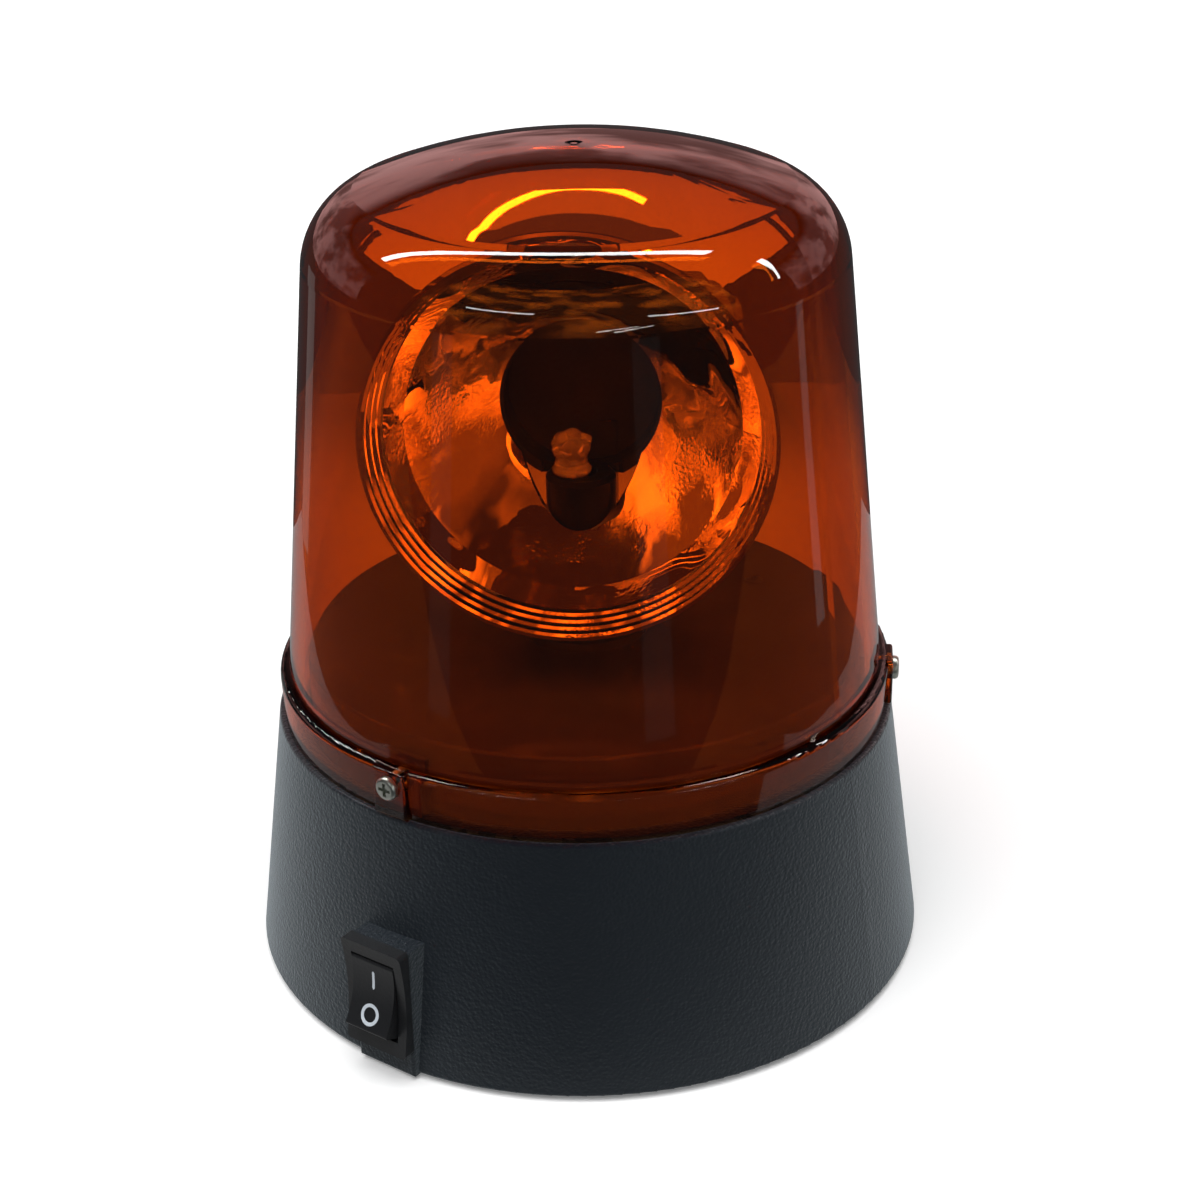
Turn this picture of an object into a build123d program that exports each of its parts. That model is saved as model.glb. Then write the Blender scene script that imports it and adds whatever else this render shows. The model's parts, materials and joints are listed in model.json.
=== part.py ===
from build123d import *
import os
from math import acos, cos, pi, radians, sin, sqrt, tan

# A small battery-powered rotating beacon: a black conical base, a clear amber lens,
# and inside it a plated reflector that a motor turns round a fixed lamp post.
# Millimetres. +Z is up and Z 0 is the surface that the rubber feet stand on.
# The pieces that follow the switch are drawn with the switch facing -Y, and turned by
# SWITCH_TURN about Z at the end.

# Overall
FOOT_PROUD = 0.8
WALL = 2.2
SWITCH_TURN = -36.0
SCREW_CORE_R = 1.15
SCREW_HOLE_R = 1.2
SCREW_CLEAR_R = 1.35

# Base housing, a shell that narrows upwards
BASE_BOTTOM_R = 50.0
BASE_TOP_R = 45.0
BASE_BOTTOM_Z = FOOT_PROUD
BASE_TOP_Z = 37.6
FLANGE_IN_R = 36.5
FLANGE_T = 1.6
FLANGE_Z = BASE_TOP_Z - FLANGE_T
POST_AT_R = 40.5
POST_R = 3.5
POST_ANGLES = (30, 150, 210, 330)

# Switch panel on the base, and the rocker switch in it
SWITCH_X = 1.4
PAD_HALF_W = 4.9
PAD_FACE_Y = -50.6
PAD_TOP_Z = 20.9
PANEL_BACK_Y = -44.9
PANEL_HALF_W = 7.0
PANEL_TOP_Z = 24.3
SWITCH_Z = 13.2
BEZEL_HALF_W = 5.15
BEZEL_HALF_L = 8.2
BEZEL_T = 2.0
BEZEL_DIP = 0.9
SWITCH_BODY_HALF_W = 4.5
SWITCH_BODY_HALF_L = 6.75
SWITCH_BODY_DEPTH = 10.0
WINDOW_HALF_W = 3.7
WINDOW_HALF_L = 6.15
ROCKER_HALF_W = 3.58
ROCKER_PIVOT_Y = -50.1
ROCKER_REST_DEG = 12.5
ROCKER_PIN_R = 0.8
ROCKER_TIP = (5.14, 3.39)
ROCKER_MIDDLE = 2.35
TERMINAL_X = 0.4
TERMINAL_HALF_W = 1.4
TERMINAL_LENGTH = 6.0
TERMINAL_STEP = 4.0

# Lens
LENS_T = 2.0
SKIRT_BOTTOM_R = 44.25
SKIRT_TOP_R = 44.5
SHOULDER_Z = 45.1
CONE_BOTTOM_R = 43.1
CROWN_R = 86.1
LENS_TOP_Z = 119.1
CONE_LEAN = 0.0979
CORNER_ROUND = 11.5
LENS_SCREW_ANGLES = (270, 30, 150)
LENS_SCREW_Z = 42.1
LENS_PAD_HALF_W = 2.75
LENS_PAD_FACE_R = 45.05
GATE_R = 1.3
GATE_DEPTH = 0.3

# Deck under the lens, and the gear plate that hangs below it
DECK_R = 40.1
DECK_TOP_Z = 48.3
DECK_T = 2.0
DECK_SCREW_ANGLES = (60, 180, 300)
DECK_SCREW_AT_R = 38.4
PLATE_R = 36.0
PLATE_T = 1.6
PLATE_TOP_Z = 37.2
PLATE_Z = PLATE_TOP_Z - PLATE_T
PLATE_POST_ANGLES = (20, 160, 235, 305)
PLATE_POST_AT_R = 31.0

# Gear train, module 0.5: motor pinion, two-step idler, gear on the turning neck
MODULE = 0.5
PRESSURE_DEG = 20.0
TOOTH_SLACK = 0.11
NECK_TEETH = 60
IDLER_SMALL_TEETH = 12
IDLER_BIG_TEETH = 44
PINION_TEETH = 10
IDLER_Y = MODULE * (NECK_TEETH + IDLER_SMALL_TEETH) / 2
MOTOR_Y = IDLER_Y + MODULE * (IDLER_BIG_TEETH + PINION_TEETH) / 2
IDLER_STEP_Z = 41.0

# Fixed lamp post and the neck that turns round it
POST_TUBE_R = 5.0
POST_FOOT_R = 6.0
POST_TOP_Z = 72.3
POST_BORE_R = 2.4
NECK_R = 6.0
NECK_TOP_Z = 63.6
RUNNING_GAP = 0.06

# Reflector: a paraboloid with its focus on the turning axis
REFLECTOR_Z = 82.3
REFLECTOR_TILT = 4.5
REFLECTOR_YAW = -5.0
FOCAL = 6.9
DISH_T = 1.0
DISH_HOLE_R = 11.5
BOWL_R = 22.8
RIM_R = 27.5
RIM_A = 20.2
SLOT_HALF_W = 8.7
SLOT_SIDE_R = 7.2
SLOT_END_HALF_W = 5.2
SLOT_END_R = 14.4
SLOT_POST_GAP = 0.35

# Motor, a flat-sided can that stands on end beside the cells
CAN_R = 10.0
CAN_HALF_T = 7.5
CAN_BOTTOM_Z = 10.6
CAN_WALL = 0.7
SHAFT_R = 1.0

# Battery compartment for three AA cells, in the bottom cover
COVER_R = 47.3
COVER_TOP_Z = 2.8
CELL_R = 7.25
CELL_LENGTH = 50.5
CELL_PITCH = 15.0
CELL_MID_Y = -2.2
CELL_Z = 10.3
BOX_HALF_X = 28.2
BOX_WALL = 1.4
BOX_TOP_Z = 18.2
BOX_LOW_Y = CELL_MID_Y - 1.5 * CELL_PITCH
BOX_HIGH_Y = CELL_MID_Y + 1.5 * CELL_PITCH
CELL_YS = [CELL_MID_Y + CELL_PITCH * n for n in (-1, 0, 1)]
TONGUE_YS = [CELL_MID_Y + CELL_PITCH * n for n in (-0.5, 0.5)]
DOOR_GAP = 0.12
FOOT_R = 4.5
FOOT_AT_R = 40.3
FOOT_ANGLES = (0, 90, 180, 270)


def disc(r, z0, z1, x=0.0, y=0.0):
    """An upright cylinder between two heights."""
    return Pos(x, y, (z0 + z1) / 2) * Cylinder(r, z1 - z0)


def ring(outer, inner, z0, z1, x=0.0, y=0.0):
    return disc(outer, z0, z1, x, y) - disc(inner, z0 - 1, z1 + 1, x, y)


def block(x0, x1, y0, y1, z0, z1):
    return Pos((x0 + x1) / 2, (y0 + y1) / 2, (z0 + z1) / 2) * Box(x1 - x0, y1 - y0, z1 - z0)


def turned(points):
    """A solid of revolution about Z from (radius, height) corners."""
    outline = Polyline([(r, 0, z) for r, z in points], close=True)
    return revolve(make_face(outline.edges()), Axis.Z)


def polar(r, angle):
    return r * cos(radians(angle)), r * sin(radians(angle))


def spokes(shape, angles):
    """Copies of a shape drawn on +X, one at each angle."""
    return [Rot(0, 0, a) * shape for a in angles]


def switch_side(shape):
    """From the frame where the switch faces -Y to the object's own frame."""
    return Rot(0, 0, SWITCH_TURN) * shape


def on_switch(shape):
    """From the switch's own middle line to its place beside the panel's middle."""
    return Pos(SWITCH_X, 0, 0) * shape


def save(name, solids):
    """One STEP file. A list becomes a group of separate solids."""
    shape = Compound(children=list(solids)) if isinstance(solids, list) else solids
    export_step(shape, f"parts/{name}.step")


def screw(head_r, head_h, length, shank_r=SCREW_CORE_R):
    """A pan-head screw with a cross recess. Its head stands up from Z 0, its shank hangs down."""
    head = fillet(disc(head_r, 0, head_h).edges().sort_by(Axis.Z)[-1], head_h * 0.6)
    slot_w = head_r * 0.3
    slot_l = head_r * 1.15
    for turn in (0, 90):
        arm = Pos(0, 0, head_h) * Rot(0, 0, turn) * Box(slot_l, slot_w, head_h * 1.1)
        head -= arm
    pitch = shank_r * 0.7
    root_r = shank_r * 0.8
    profile = [(0, 0), (shank_r, 0)]
    z = -pitch * 0.5
    while z - pitch > -length + shank_r:
        profile += [(root_r, z), (shank_r, z - pitch / 2)]
        z -= pitch
    profile += [(root_r, z), (0, -length)]
    return head + turned(profile)


def tube(points, radii, r):
    """A round wire along straight runs joined by tangent arcs."""
    path = FilletPolyline(points, radius=radii)
    return sweep(Plane(path @ 0, z_dir=path % 0) * Circle(r), path=path)


# Base


def base_solid(inset, z0, z1):
    """The base's cone, moved in by an inset, between two heights."""
    lean = (BASE_BOTTOM_R - BASE_TOP_R) / (BASE_TOP_Z - BASE_BOTTOM_Z)
    low = BASE_BOTTOM_R - inset - lean * (z0 - BASE_BOTTOM_Z)
    high = BASE_BOTTOM_R - inset - lean * (z1 - BASE_BOTTOM_Z)
    return turned([(0, z0), (low, z0), (high, z1), (0, z1)])


def make_base_housing():
    shell = base_solid(0, BASE_BOTTOM_Z, BASE_TOP_Z)
    shell = fillet(shell.edges().filter_by(GeomType.CIRCLE), 0.5)
    pad = on_switch(block(-PAD_HALF_W, PAD_HALF_W, PAD_FACE_Y, -40, BASE_BOTTOM_Z, PAD_TOP_Z))
    front = pad.faces().sort_by(Axis.Y)[0]
    shell += fillet(front.edges(), 0.4)
    shell -= base_solid(WALL + 0.2, BASE_BOTTOM_Z - 1, FLANGE_Z)
    shell -= disc(FLANGE_IN_R, FLANGE_Z - 1, BASE_TOP_Z + 1)
    # A flat back to the panel, for the switch's snap wings
    panel = block(-PANEL_HALF_W, PANEL_HALF_W, -48, PANEL_BACK_Y, COVER_TOP_Z + 0.4, PANEL_TOP_Z)
    shell += on_switch(panel) & base_solid(0.5, BASE_BOTTOM_Z, BASE_TOP_Z)
    for angle in POST_ANGLES:
        x, y = polar(POST_AT_R, angle)
        shell += disc(POST_R, COVER_TOP_Z, FLANGE_Z + 0.4, x, y) & base_solid(1, 1, BASE_TOP_Z)
        shell -= disc(SCREW_HOLE_R, COVER_TOP_Z - 1, 14, x, y)
    for angle in DECK_SCREW_ANGLES:
        x, y = polar(DECK_SCREW_AT_R, angle)
        shell -= disc(SCREW_CLEAR_R, FLANGE_Z - 1, BASE_TOP_Z + 1, x, y)
    hole_w = SWITCH_BODY_HALF_W + 0.05
    hole_l = SWITCH_BODY_HALF_L + 0.05
    shell -= on_switch(block(-hole_w, hole_w, -60, -40, SWITCH_Z - hole_l, SWITCH_Z + hole_l))
    return shell


def make_bottom_cover():
    cover = disc(COVER_R, BASE_BOTTOM_Z, COVER_TOP_Z)
    out_x = BOX_HALF_X + BOX_WALL
    low = BOX_LOW_Y - BOX_WALL
    high = BOX_HIGH_Y + BOX_WALL
    cover += block(-out_x, out_x, low, high, COVER_TOP_Z - 0.5, BOX_TOP_Z + BOX_WALL)
    cover -= block(-BOX_HALF_X, BOX_HALF_X, BOX_LOW_Y, BOX_HIGH_Y, -1, BOX_TOP_Z)
    # Notches that the door's two tongues swing through
    for y in TONGUE_YS:
        cover -= block(-out_x - 2, -BOX_HALF_X + 1, y - 2.9, y + 2.9, COVER_TOP_Z, 5.6)
    # Thumb scoop beside the door's latch
    cover -= Pos(BOX_HALF_X, CELL_MID_Y, BASE_BOTTOM_Z) * scale(Sphere(1), (4.5, 8, 1.3))
    for angle in FOOT_ANGLES:
        x, y = polar(FOOT_AT_R, angle)
        cover -= disc(FOOT_R + 0.1, 0, 2 * FOOT_PROUD, x, y)
    for angle in POST_ANGLES:
        x, y = polar(POST_AT_R, angle)
        cover -= disc(2.8, 0, 2.0, x, y)
        cover -= disc(1.5, 0, COVER_TOP_Z + 1, x, y)
    return cover


def make_battery_door():
    end_x = BOX_HALF_X - DOOR_GAP
    door = block(-end_x, end_x, BOX_LOW_Y + DOOR_GAP, BOX_HIGH_Y - DOOR_GAP, BASE_BOTTOM_Z, COVER_TOP_Z)
    for y in TONGUE_YS:
        door += block(-end_x, -end_x + 4, y - 2.5, y + 2.5, COVER_TOP_Z - 0.5, 3.1)
        door += block(-end_x - 2.6, -end_x + 4, y - 2.5, y + 2.5, COVER_TOP_Z + 0.12, 4.1)
    # Springy latch on the free end, and ribs to grip
    half = 2.2
    mid = CELL_MID_Y + CELL_PITCH / 2
    door += block(end_x - 1.4, end_x - 0.5, mid - half, mid + half, COVER_TOP_Z - 0.5, 5.2)
    door += block(end_x - 1.0, end_x - 0.3, mid - half, mid + half, 4.4, 5.2)
    for n in range(5):
        x = end_x - 4 - 2 * n
        door -= block(x - 0.5, x + 0.5, CELL_MID_Y - 7, CELL_MID_Y + 7, 0, BASE_BOTTOM_Z + 0.5)
    return door


def make_feet():
    foot = fillet(disc(FOOT_R, 0, 2 * FOOT_PROUD, FOOT_AT_R).edges().sort_by(Axis.Z)[0], 0.3)
    return spokes(foot, FOOT_ANGLES)


# Battery


def make_cells():
    """Three cells side by side, each turned end for end from its neighbour."""
    body_l = CELL_LENGTH - 1.3
    cells = []
    for n, y in enumerate(CELL_YS):
        way = 1 if n % 2 == 0 else -1
        can = chamfer(Cylinder(CELL_R, body_l).edges(), 0.4)
        nub = Pos(0, 0, body_l / 2 + 0.65) * Cylinder(2.7, 1.3)
        cell = Pos(BOX_HALF_X - 0.5 - 1.3 - body_l / 2, 0, 0) * Rot(0, 90, 0) * (can + nub)
        cells.append(Pos(0, y, CELL_Z) * Rot(0, 0, 0 if way > 0 else 180) * cell)
    return cells


def make_plates():
    """Flat contacts behind the cells' positive ends."""
    plates = []
    for n, y in enumerate(CELL_YS):
        x = BOX_HALF_X - 0.25 if n % 2 == 0 else -BOX_HALF_X + 0.25
        plates.append(Pos(x, y, CELL_Z) * fillet(Box(0.5, 9, 9).edges().filter_by(Axis.X), 1))
    return plates


def make_springs():
    """Conical springs that press on the cells' flat ends."""
    room = 2 * BOX_HALF_X - 0.5 - CELL_LENGTH
    wire_r = 0.3
    springs = []
    for n, y in enumerate(CELL_YS):
        path = Helix(pitch=room / 4.4, height=room - 2 * wire_r - 0.4, radius=3.8, cone_angle=-14)
        coil = sweep(Plane(path @ 0, z_dir=path % 0) * Circle(wire_r), path=path)
        pad = Pos(0, 0, -wire_r) * Cylinder(4.6, 0.3)
        spring = Pos(-BOX_HALF_X + 0.2 + wire_r, 0, 0) * Rot(0, 90, 0) * (coil + pad)
        springs.append(Pos(0, y, CELL_Z) * Rot(0, 0, 0 if n % 2 == 0 else 180) * spring)
    return springs


# Switch


def make_switch_frame():
    front = PAD_FACE_Y - BEZEL_T
    low = SWITCH_Z - BEZEL_HALF_L
    high = SWITCH_Z + BEZEL_HALF_L
    bezel = block(-BEZEL_HALF_W, BEZEL_HALF_W, front, PAD_FACE_Y, low, high)
    bezel = fillet(bezel.edges().filter_by(Axis.Y), 0.6)
    # The frame dips in the middle, like a saddle
    dip_r = (BEZEL_HALF_L ** 2 + BEZEL_DIP ** 2) / (2 * BEZEL_DIP)
    bezel -= Pos(0, front + BEZEL_DIP - dip_r, SWITCH_Z) * Rot(0, 90, 0) * Cylinder(dip_r, 20)
    back = PAD_FACE_Y + SWITCH_BODY_DEPTH
    half_w = SWITCH_BODY_HALF_W
    body_low = SWITCH_Z - SWITCH_BODY_HALF_L
    body_high = SWITCH_Z + SWITCH_BODY_HALF_L
    frame = bezel + block(-half_w, half_w, PAD_FACE_Y - 0.5, back, body_low, body_high)
    wing_y = PANEL_BACK_Y + 0.05
    for side in (-1, 1):
        x = side * half_w
        wing = Polyline([(x, -41.6), (x, wing_y), (x + side * 0.8, wing_y)], close=True)
        frame += Pos(0, 0, SWITCH_Z - 3) * extrude(make_face(wing.edges()), 6, dir=(0, 0, 1))
    window_low = SWITCH_Z - WINDOW_HALF_L
    window_high = SWITCH_Z + WINDOW_HALF_L
    frame -= block(-WINDOW_HALF_W, WINDOW_HALF_W, -60, -43.5, window_low, window_high)
    frame -= Pos(0, ROCKER_PIVOT_Y, SWITCH_Z) * Rot(0, 90, 0) * Cylinder(ROCKER_PIN_R + 0.05, 9.1)
    return on_switch(frame)


def make_rocker():
    """A shallow V on a cross pin, tipped so that its upper end is pressed in."""
    tip_x, tip_y = ROCKER_TIP
    right = [(tip_x, tip_y), (5.9, -0.2), (5.0, -2.4), (1.6, -4.4)]
    left = [(-x, y) for x, y in reversed(right)]
    outline = [
        ThreePointArc((-tip_x, tip_y), (0, ROCKER_MIDDLE), (tip_x, tip_y)),
        Polyline(right + left),
    ]
    face = make_face([edge for line in outline for edge in line.edges()])
    body = extrude(face, ROCKER_HALF_W, both=True)
    corners = []
    for edge in body.edges():
        middle = edge.center()
        if abs(middle.Y - tip_y) < 0.05 and abs(abs(middle.X) - tip_x) < 0.05:
            corners.append(edge)
    body = fillet(corners, 0.35)
    body += Cylinder(ROCKER_PIN_R, 2 * SWITCH_BODY_HALF_W - 0.2)
    # Drawn with X along the switch, Y outwards and Z across it
    standing = Plane((0, ROCKER_PIVOT_Y, SWITCH_Z), x_dir=(0, 0, 1), z_dir=(1, 0, 0)).location
    return on_switch(standing * Rot(0, 0, -ROCKER_REST_DEG) * body)


def make_switch_terminals():
    back = PAD_FACE_Y + SWITCH_BODY_DEPTH
    blades = []
    for side in (-1, 1):
        blade = block(-TERMINAL_HALF_W, TERMINAL_HALF_W, back, back + TERMINAL_LENGTH, -0.25, 0.25)
        blade -= Pos(0, back + 4, 0) * Cylinder(0.6, 2)
        blades.append(Pos(TERMINAL_X, 0, SWITCH_Z + TERMINAL_STEP * side) * blade)
    return blades


# Lens


def lens_solid(inset):
    """The lens's cone and crown, moved in by an inset."""
    low_r = CONE_BOTTOM_R - inset
    crown_mid = LENS_TOP_Z - CROWN_R
    crown_r = CROWN_R - inset
    # The cone's line and the crown's arc meet where both have the same radius
    edge_z = SHOULDER_Z + 65
    for _ in range(20):
        edge_r = low_r - CONE_LEAN * (edge_z - SHOULDER_Z)
        edge_z = crown_mid + sqrt(crown_r ** 2 - edge_r ** 2)
    top_z = crown_mid + crown_r
    half_r = edge_r / 2
    half_z = crown_mid + sqrt(crown_r ** 2 - half_r ** 2)
    outline = [
        Polyline([(0, top_z), (0, BASE_TOP_Z), (low_r, BASE_TOP_Z), (low_r, SHOULDER_Z), (edge_r, edge_z)]),
        ThreePointArc((edge_r, edge_z), (half_r, half_z), (0, top_z)),
    ]
    face = make_face([edge for line in outline for edge in line.edges()])
    corner = [v for v in face.vertices() if abs(v.X - edge_r) < 0.01 and abs(v.Y - edge_z) < 0.01]
    face = fillet(corner, CORNER_ROUND - inset)
    return revolve(Plane.XZ * face, Axis.Z)


def make_lens_dome():
    skirt_top = SHOULDER_Z - 0.5
    skirt = turned([(0, BASE_TOP_Z), (SKIRT_BOTTOM_R, BASE_TOP_Z), (SKIRT_TOP_R, skirt_top), (0, skirt_top)])
    skirt = fillet(skirt.edges().sort_by(Axis.Z)[-1], 0.9)
    pad = block(40, LENS_PAD_FACE_R, -LENS_PAD_HALF_W, LENS_PAD_HALF_W, BASE_TOP_Z, SHOULDER_Z - 0.6)
    pad = fillet(pad.faces().sort_by(Axis.X)[-1].edges(), 0.35)
    lens = skirt + lens_solid(0)
    for piece in spokes(pad, LENS_SCREW_ANGLES):
        lens += piece
    lens -= lens_solid(LENS_T)
    inner_r = SKIRT_BOTTOM_R - LENS_T
    inner_top = SHOULDER_Z - 0.6
    room = [(0, 30), (inner_r, 30), (inner_r, inner_top - 1.6), (inner_r - 1.1, inner_top), (0, inner_top)]
    lens -= turned(room)
    hole = Pos(44, 0, LENS_SCREW_Z) * Rot(0, 90, 0) * Cylinder(1.3, 12)
    for piece in spokes(hole, LENS_SCREW_ANGLES):
        lens -= piece
    # The moulding gate's mark: a shallow dish in the crown with a stub in it
    ball_r = (GATE_R ** 2 + GATE_DEPTH ** 2) / (2 * GATE_DEPTH)
    lens -= Pos(0, 0, LENS_TOP_Z - GATE_DEPTH + ball_r) * Sphere(ball_r)
    lens += disc(0.45, LENS_TOP_Z - 1, LENS_TOP_Z - 0.08)
    return lens


def make_lens_screws():
    one = Pos(LENS_PAD_FACE_R, 0, LENS_SCREW_Z) * Rot(0, 90, 0) * screw(1.7, 0.9, 7.0, 1.0)
    return spokes(one, LENS_SCREW_ANGLES)


# Deck and gear plate


def make_top_deck():
    under = DECK_TOP_Z - DECK_T
    deck = fillet(disc(DECK_R, BASE_TOP_Z, DECK_TOP_Z).edges().sort_by(Axis.Z)[-1], 0.5)
    deck -= disc(DECK_R - 2, BASE_TOP_Z - 1, under)
    bosses = []
    for piece in spokes(block(35.5, 43, -3.5, 3.5, BASE_TOP_Z, under + 0.2), LENS_SCREW_ANGLES):
        bosses.append(piece & disc(SKIRT_BOTTOM_R - LENS_T - 0.3, BASE_TOP_Z, SHOULDER_Z - 2.4))
        bosses.append(piece & disc(CONE_BOTTOM_R - LENS_T - 0.2, BASE_TOP_Z, 45.6))
    for angle in DECK_SCREW_ANGLES:
        x, y = polar(DECK_SCREW_AT_R, angle)
        bosses.append(disc(3.2, BASE_TOP_Z, under + 0.2, x, y) & disc(DECK_R, 0, 60))
    for angle in PLATE_POST_ANGLES:
        bosses.append(disc(3, PLATE_TOP_Z, under + 0.2, *polar(PLATE_POST_AT_R, angle)))
    bosses.append(disc(2.6, 45.5, under + 0.2, 0, IDLER_Y))
    bosses.append(disc(9.5, under, DECK_TOP_Z + 1.2))
    for boss in bosses:
        deck += boss
    deck -= disc(NECK_R + 0.45, 0, 60)
    deck -= disc(SHAFT_R + 0.05, 40, 47.4, 0, IDLER_Y)
    hole = Pos(40, 0, LENS_SCREW_Z) * Rot(0, 90, 0) * Cylinder(1.05, 10)
    for piece in spokes(hole, LENS_SCREW_ANGLES):
        deck -= piece
    for angle in DECK_SCREW_ANGLES:
        deck -= disc(SCREW_HOLE_R, 30, 45, *polar(DECK_SCREW_AT_R, angle))
    for angle in PLATE_POST_ANGLES:
        deck -= disc(SCREW_HOLE_R, 30, 44.5, *polar(PLATE_POST_AT_R, angle))
    return deck


def hung_screws(at_r, angles, z, one):
    """Screws driven upwards on a circle, with their heads under a height."""
    return [Pos(*polar(at_r, angle), z) * Rot(180, 0, 0) * one for angle in angles]


def make_deck_screws():
    """They go up through the base's flange into the deck."""
    return hung_screws(DECK_SCREW_AT_R, DECK_SCREW_ANGLES, FLANGE_Z, screw(2.0, 1.3, 8.2))


def make_plate_screws():
    """They go up through the gear plate into the deck's hanging posts."""
    return hung_screws(PLATE_POST_AT_R, PLATE_POST_ANGLES, PLATE_Z, screw(2.2, 1.4, 8.2))


def make_cover_screws():
    return hung_screws(POST_AT_R, POST_ANGLES, 2.0, screw(2.4, 1.1, 10.5))


STRAP_SCREW_X = 13.4
STRAP_Y = 30.0


def make_gear_plate():
    plate = disc(PLATE_R, PLATE_Z, PLATE_TOP_Z)
    plate += disc(3, PLATE_Z - 2, PLATE_Z + 0.2, 0, IDLER_Y)
    plate -= disc(POST_FOOT_R + 0.02, 30, 40)
    plate -= disc(SHAFT_R, 30, 40, 0, IDLER_Y)
    plate -= disc(3.25, 30, 40, 0, MOTOR_Y)
    for angle in PLATE_POST_ANGLES:
        plate -= disc(1.4, 30, 40, *polar(PLATE_POST_AT_R, angle))
    for side in (-1, 1):
        plate -= disc(SHAFT_R + 0.05, 30, 40, side * STRAP_SCREW_X, STRAP_Y)
    return plate


# Lamp


def make_led_post():
    post = disc(9, PLATE_Z - 1.6, PLATE_Z) + disc(POST_FOOT_R, PLATE_Z - 1, IDLER_STEP_Z)
    post += disc(POST_TUBE_R, IDLER_STEP_Z - 1, POST_TOP_Z)
    post -= disc(POST_BORE_R, 30, POST_TOP_Z + 1)
    top_edges = post.edges().filter_by(GeomType.CIRCLE).sort_by(Axis.Z)[-2:]
    return chamfer(top_edges.sort_by(SortBy.RADIUS)[-1], 0.65)


LED_SPOT = Pos(-1.2, 0, POST_TOP_Z + 0.22) * Rot(0, -4, 0)
LED_LEAD_X = 1.1


def make_led():
    bulb = disc(2.5, 0, 5.4) + Pos(0, 0, 5.4) * Sphere(2.5)
    return LED_SPOT * (bulb + disc(2.9, 0, 1.0))


def make_led_leads(led):
    leads = []
    for side in (-1, 1):
        leads.append(disc(0.25, 58, POST_TOP_Z + 0.6, side * LED_LEAD_X) - led)
    return leads


# Gears


def involute(angle):
    return tan(angle) - angle


def gear(teeth, z0, z1, first_tooth, addendum=0.8):
    """A spur gear on Z, with one tooth's middle at the angle first_tooth."""
    pitch_r = MODULE * teeth / 2
    base_r = pitch_r * cos(radians(PRESSURE_DEG))
    tip_r = pitch_r + addendum * MODULE
    root_r = pitch_r - 1.2 * MODULE
    half = (pi * MODULE / 2 - TOOTH_SLACK) / (2 * pitch_r)
    start_r = max(base_r, root_r)
    steps = 4
    flank = []
    if root_r < start_r:
        flank.append((root_r, half + involute(radians(PRESSURE_DEG))))
    for n in range(steps + 1):
        r = start_r + (tip_r - start_r) * n / steps
        roll = acos(min(1.0, base_r / r))
        flank.append((r, half + involute(radians(PRESSURE_DEG)) - involute(roll)))
    points = []
    for tooth in range(teeth):
        middle = radians(first_tooth) + 2 * pi * tooth / teeth
        for r, a in flank:
            points.append((r * cos(middle - a), r * sin(middle - a)))
        for r, a in reversed(flank):
            points.append((r * cos(middle + a), r * sin(middle + a)))
    face = make_face(Polyline(points, close=True).edges())
    return Pos(0, 0, z0) * extrude(face, z1 - z0, dir=(0, 0, 1))


NECK_GEAR_Z0 = 41.8
NECK_GEAR_Z1 = 44.8
NECK_FOOT_Z = 41.4
HOLDER_Z0 = 50.0
HOLDER_Z1 = 57.0


def make_neck_gear():
    """The big gear and the neck above it, in one moulding."""
    neck = gear(NECK_TEETH, NECK_GEAR_Z0, NECK_GEAR_Z1, 90)
    neck -= ring(13, 8.5, NECK_GEAR_Z1 - 1.1, NECK_GEAR_Z1 + 1)
    neck += disc(7.5, NECK_FOOT_Z, 46.0)
    neck += disc(NECK_R, NECK_FOOT_Z, NECK_TOP_Z)
    neck -= disc(POST_TUBE_R + RUNNING_GAP, 30, 80)
    return neck


def make_idler_gear():
    idler = gear(IDLER_BIG_TEETH, 38.3, IDLER_STEP_Z, 90, 0.64)
    idler += disc(3.2, PLATE_TOP_Z + 0.15, 38.5)
    idler += gear(IDLER_SMALL_TEETH, IDLER_STEP_Z - 0.2, 45.2, 270 + 180 / IDLER_SMALL_TEETH, 0.9)
    idler -= disc(SHAFT_R + 0.05, 30, 50)
    return Pos(0, IDLER_Y, 0) * idler


def make_motor_pinion():
    pinion = gear(PINION_TEETH, 37.7, 41.5, 270 + 180 / PINION_TEETH, 0.9)
    return Pos(0, MOTOR_Y, 0) * (pinion - disc(SHAFT_R, 30, 50))


# Motor


def can_shape(inset, z0, z1):
    flat = CAN_HALF_T - inset
    return disc(CAN_R - inset, z0, z1) & block(-20, 20, -flat, flat, z0, z1)


def at_motor(shape):
    return Pos(0, MOTOR_Y, 0) * shape


def make_motor_can():
    can = can_shape(0, 13.6, PLATE_Z) + disc(3.1, PLATE_Z - 1, PLATE_TOP_Z - 0.1)
    can -= can_shape(CAN_WALL, 10, PLATE_Z - CAN_WALL)
    return at_motor(can - disc(SHAFT_R + 0.05, 0, 50))


def make_motor_end_cap():
    cap = can_shape(0, CAN_BOTTOM_Z, 13.6) + can_shape(CAN_WALL + 0.05, 13, 15)
    cap -= can_shape(2.2, 12.4, 20)
    for side in (-1, 1):
        cap -= block(side * 5 - 1.1, side * 5 + 1.1, 4.2, 4.8, 5, 20)
    return at_motor(cap)


def make_motor_magnets():
    arc = ring(9.25, 6.9, 17, 32) & block(2.2, 20, -6.7, 6.7, 17, 32)
    return [at_motor(arc), at_motor(Rot(0, 0, 180) * arc)]


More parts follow.
